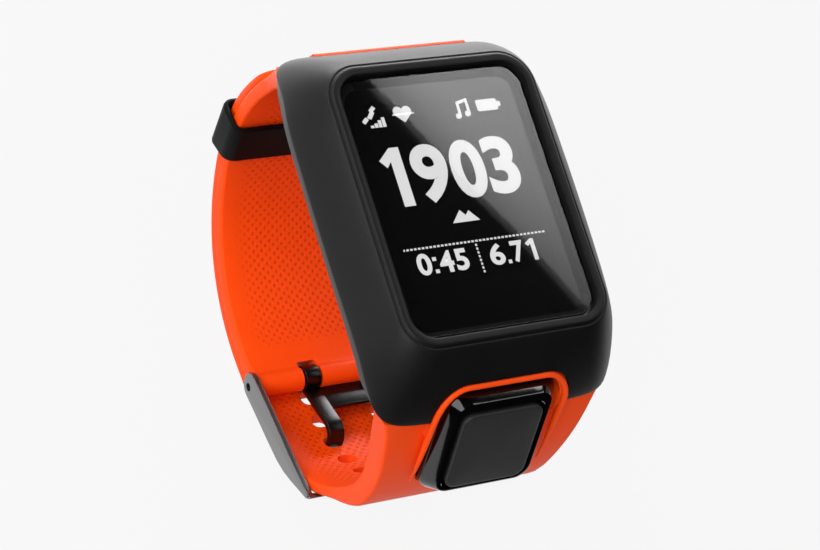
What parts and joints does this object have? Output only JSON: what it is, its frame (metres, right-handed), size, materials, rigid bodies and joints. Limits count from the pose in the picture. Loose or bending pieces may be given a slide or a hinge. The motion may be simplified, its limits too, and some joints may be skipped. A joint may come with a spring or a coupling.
{
  "type": "gps running watch",
  "caption": "Running watch with a rectangular display, four-way button pod, optical pulse sensor and a buckled rubber strap with a keeper loop.",
  "frame": {"origin": "centre of the sensor window's skin face, under the middle of the display", "axes": "+X across the display towards 3 o'clock, +Y towards 12 o'clock, +Z out of the display"},
  "size_m": [0.0396, 0.0634, 0.0525],
  "materials": {
    "soft_touch_black": "satin, fine texture",
    "orange_rubber": "satin",
    "black_rubber": "matte",
    "gunmetal": "dark plated, satin",
    "black_steel": "dark plated",
    "lens": "gloss",
    "gloss_black": "gloss",
    "pad_plastic": "matte, fine texture",
    "display_black": "smooth",
    "light_guide": "clear",
    "silicone_seal": "matte",
    "case_plastic": "fine texture",
    "steel": "bright",
    "gold_plate": "gold plated",
    "circuit_board": "solder mask",
    "chip_black": "moulded",
    "tinned_steel": "tinned",
    "ceramic": "sintered",
    "battery_foil": "foil",
    "led_green": "clear",
    "polyimide": "film"
  },
  "bodies": {
    "case": {"bezel_frame": "soft_touch_black", "long_strap": "orange_rubber", "short_strap": "orange_rubber", "buckle_pin": "steel", "lens_glass": "lens", "lens_gasket": "silicone_seal", "display_panel": "display_black", "backlight_guide": "light_guide", "module_case": "case_plastic", "case_back": "case_plastic", "back_gasket": "silicone_seal", "back_screws": "steel", "sensor_window": "gloss_black", "sensor_leds": "led_green", "photodiode": "chip_black", "sensor_board": "circuit_board", "main_board": "circuit_board", "board_chips": "chip_black", "shield_can": "tinned_steel", "gps_antenna": "ceramic", "radio_antenna": "gold_plate", "pressure_sensor": "tinned_steel", "battery": "battery_foil", "motor_can": "tinned_steel", "charging_contacts": "gold_plate", "button_pod": "gloss_black", "button_board": "circuit_board", "dome_switches": "steel", "button_flex": "polyimide"},
    "keeper": {"keeper_loop": "black_rubber"},
    "buckle": {"buckle_frame": "gunmetal"},
    "tang": {"buckle_tang": "black_steel"},
    "rocker": {"rocker_plate": "case_plastic"},
    "pad": {"button_pad": "pad_plastic"},
    "weight": {"motor_weight": "steel"}
  },
  "joints": [
    {"name": "buckle_swing", "type": "hinge", "parent": "case", "child": "buckle", "pos_m": [0, -0.00892, -0.03405], "axis": [1, 0, 0], "range_deg": [0, 50]},
    {"name": "tang_swing", "type": "hinge", "parent": "case", "child": "tang", "pos_m": [0, -0.00892, -0.03405], "axis": [-1, 0, 0], "range_deg": [0, 60]},
    {"name": "keeper_slide", "type": "hinge", "parent": "case", "child": "keeper", "pos_m": [0, -0.0005, -0.0104], "axis": [1, 0, 0], "range_deg": [-6, 6]},
    {"name": "pad_up_down", "type": "hinge", "parent": "case", "child": "rocker", "pos_m": [0, -0.03085, -0.00017], "axis": [1, 0, 0], "range_deg": [-2.5, 2.5], "stiffness_Nm_per_rad": 0.2},
    {"name": "pad_left_right", "type": "hinge", "parent": "rocker", "child": "pad", "pos_m": [0, -0.03107, -0.00005], "axis": [0, 0.4848, 0.8746], "range_deg": [-2.5, 2.5], "stiffness_Nm_per_rad": 0.2},
    {"name": "motor_spin", "type": "hinge", "parent": "case", "child": "weight", "pos_m": [0, -0.0146, 0.0049], "axis": [0, 0, 1], "continuous": true}
  ]
}
